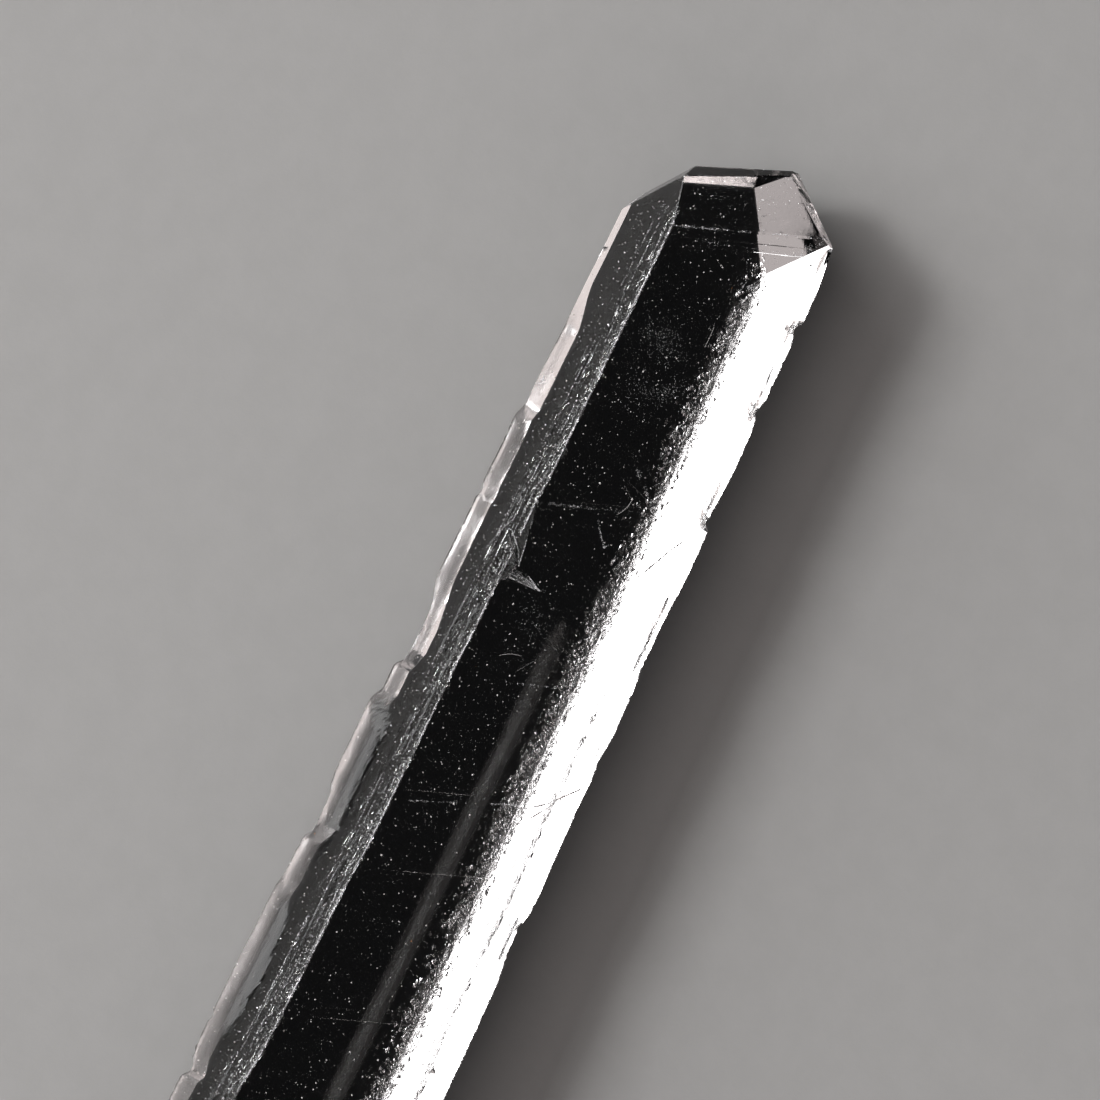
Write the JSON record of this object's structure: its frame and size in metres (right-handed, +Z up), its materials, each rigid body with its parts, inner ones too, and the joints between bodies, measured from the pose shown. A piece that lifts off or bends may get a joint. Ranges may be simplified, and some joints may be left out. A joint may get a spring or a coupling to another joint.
{
  "type": "prismatic mineral crystal",
  "caption": "Clear, colourless prismatic nifontovite crystal with a lozenge section, a bevelled tip and a broken base, lying flat.",
  "frame": {"origin": "middle of the crystal's box, on the surface that its broad back face rests on", "axes": "+X along the crystal from its tip to its broken base, +Y across it towards the undercut side, +Z up out of the broad front face"},
  "size_m": [0.04, 0.0076, 0.0032],
  "materials": {
    "clear_crystal": "polished natural faces, frosted with fine ridges and chips along the edges"
  },
  "bodies": {
    "root": {"nifontovite_crystal": "clear_crystal"}
  },
  "joints": []
}
